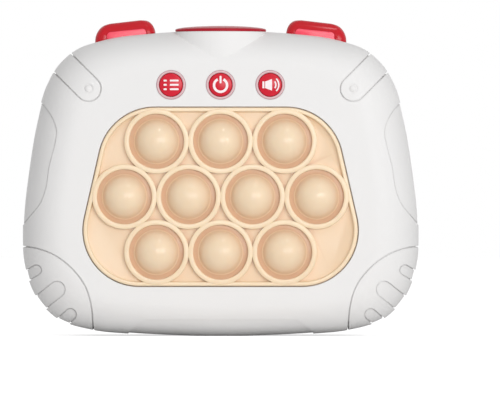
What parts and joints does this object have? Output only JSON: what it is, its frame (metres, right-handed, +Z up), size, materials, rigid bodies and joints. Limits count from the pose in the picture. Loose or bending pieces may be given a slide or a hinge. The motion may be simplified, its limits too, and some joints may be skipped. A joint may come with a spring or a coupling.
{
  "type": "electronic bubble pop game",
  "caption": "Hand-held electronic press game: rounded white case, silicone pad of push domes over lit switches, round buttons, shoulder keys and a battery door.",
  "frame": {"origin": "on the supporting surface, under the middle of the case", "axes": "+Z up, +X to the right of someone who looks at the front, -Y out of the front face with the bubbles"},
  "size_m": [0.122, 0.055, 0.0974],
  "materials": {
    "shell_white": "white ABS with a soft satin face",
    "silicone": "cream silicone, matt",
    "dome_silicone": "cream translucent silicone, satin",
    "clear_plastic": "clear moulded light guide",
    "grey_plastic": "grey ABS",
    "board_green": "green solder mask",
    "red_plastic": "red gloss plastic",
    "pale_ring": "pale pink translucent plastic",
    "speaker_black": "black cone and basket",
    "cell_can": "plain grey cell jacket",
    "screw_steel": "zinc plated steel",
    "red_wire": "red wire insulation",
    "black_wire": "black wire insulation"
  },
  "bodies": {
    "case": {"front_shell": "shell_white", "rear_shell": "shell_white", "bubble_pad": "silicone", "pad_retainer": "grey_plastic", "main_board": "board_green", "menu_bezel": "pale_ring", "power_bezel": "pale_ring", "sound_bezel": "pale_ring", "top_badge": "red_plastic", "speaker": "speaker_black", "battery_1": "cell_can", "battery_2": "cell_can", "battery_3": "cell_can", "contact_single_right": "screw_steel", "contact_single_left": "screw_steel", "contact_bridge_right": "screw_steel", "contact_bridge_left": "screw_steel", "case_screw_1": "screw_steel", "case_screw_2": "screw_steel", "case_screw_3": "screw_steel", "case_screw_4": "screw_steel", "board_screw_1": "screw_steel", "board_screw_2": "screw_steel", "board_screw_3": "screw_steel", "board_screw_4": "screw_steel", "battery_lead_red": "red_wire", "battery_lead_black": "black_wire", "speaker_lead_red": "red_wire", "speaker_lead_black": "black_wire"},
    "pop_1": {"bubble_1": "dome_silicone", "plunger_1": "clear_plastic"},
    "pop_2": {"bubble_2": "dome_silicone", "plunger_2": "clear_plastic"},
    "pop_3": {"bubble_3": "dome_silicone", "plunger_3": "clear_plastic"},
    "pop_4": {"bubble_4": "dome_silicone", "plunger_4": "clear_plastic"},
    "pop_5": {"bubble_5": "dome_silicone", "plunger_5": "clear_plastic"},
    "pop_6": {"bubble_6": "dome_silicone", "plunger_6": "clear_plastic"},
    "pop_7": {"bubble_7": "dome_silicone", "plunger_7": "clear_plastic"},
    "pop_8": {"bubble_8": "dome_silicone", "plunger_8": "clear_plastic"},
    "pop_9": {"bubble_9": "dome_silicone", "plunger_9": "clear_plastic"},
    "pop_10": {"bubble_10": "dome_silicone", "plunger_10": "clear_plastic"},
    "menu": {"menu_button": "red_plastic"},
    "power": {"power_button": "red_plastic"},
    "sound": {"sound_button": "red_plastic"},
    "key_left": {"shoulder_key_left": "red_plastic"},
    "key_right": {"shoulder_key_right": "red_plastic"},
    "door": {"battery_door": "shell_white", "door_screw": "screw_steel"}
  },
  "joints": [
    {"name": "pop_1_press", "type": "slide", "parent": "case", "child": "pop_1", "axis": [0, 1, 0], "range_m": [0, 0.003], "stiffness_N_per_m": 600},
    {"name": "pop_2_press", "type": "slide", "parent": "case", "child": "pop_2", "axis": [0, 1, 0], "range_m": [0, 0.003], "stiffness_N_per_m": 600},
    {"name": "pop_3_press", "type": "slide", "parent": "case", "child": "pop_3", "axis": [0, 1, 0], "range_m": [0, 0.003], "stiffness_N_per_m": 600},
    {"name": "pop_4_press", "type": "slide", "parent": "case", "child": "pop_4", "axis": [0, 1, 0], "range_m": [0, 0.003], "stiffness_N_per_m": 600},
    {"name": "pop_5_press", "type": "slide", "parent": "case", "child": "pop_5", "axis": [0, 1, 0], "range_m": [0, 0.003], "stiffness_N_per_m": 600},
    {"name": "pop_6_press", "type": "slide", "parent": "case", "child": "pop_6", "axis": [0, 1, 0], "range_m": [0, 0.003], "stiffness_N_per_m": 600},
    {"name": "pop_7_press", "type": "slide", "parent": "case", "child": "pop_7", "axis": [0, 1, 0], "range_m": [0, 0.003], "stiffness_N_per_m": 600},
    {"name": "pop_8_press", "type": "slide", "parent": "case", "child": "pop_8", "axis": [0, 1, 0], "range_m": [0, 0.003], "stiffness_N_per_m": 600},
    {"name": "pop_9_press", "type": "slide", "parent": "case", "child": "pop_9", "axis": [0, 1, 0], "range_m": [0, 0.003], "stiffness_N_per_m": 600},
    {"name": "pop_10_press", "type": "slide", "parent": "case", "child": "pop_10", "axis": [0, 1, 0], "range_m": [0, 0.003], "stiffness_N_per_m": 600},
    {"name": "menu_press", "type": "slide", "parent": "case", "child": "menu", "axis": [0, 1, 0], "range_m": [0, 0.0008], "stiffness_N_per_m": 2500},
    {"name": "power_press", "type": "slide", "parent": "case", "child": "power", "axis": [0, 1, 0], "range_m": [0, 0.0008], "stiffness_N_per_m": 2500},
    {"name": "sound_press", "type": "slide", "parent": "case", "child": "sound", "axis": [0, 1, 0], "range_m": [0, 0.0008], "stiffness_N_per_m": 2500},
    {"name": "key_left_press", "type": "slide", "parent": "case", "child": "key_left", "axis": [0, 0, -1], "range_m": [0, 0.0015], "stiffness_N_per_m": 2000},
    {"name": "key_right_press", "type": "slide", "parent": "case", "child": "key_right", "axis": [0, 0, -1], "range_m": [0, 0.0015], "stiffness_N_per_m": 2000},
    {"name": "door_swing", "type": "hinge", "parent": "case", "child": "door", "pos_m": [0, 0.0275, 0.05485], "axis": [1, 0, 0], "range_deg": [0, 80]}
  ]
}
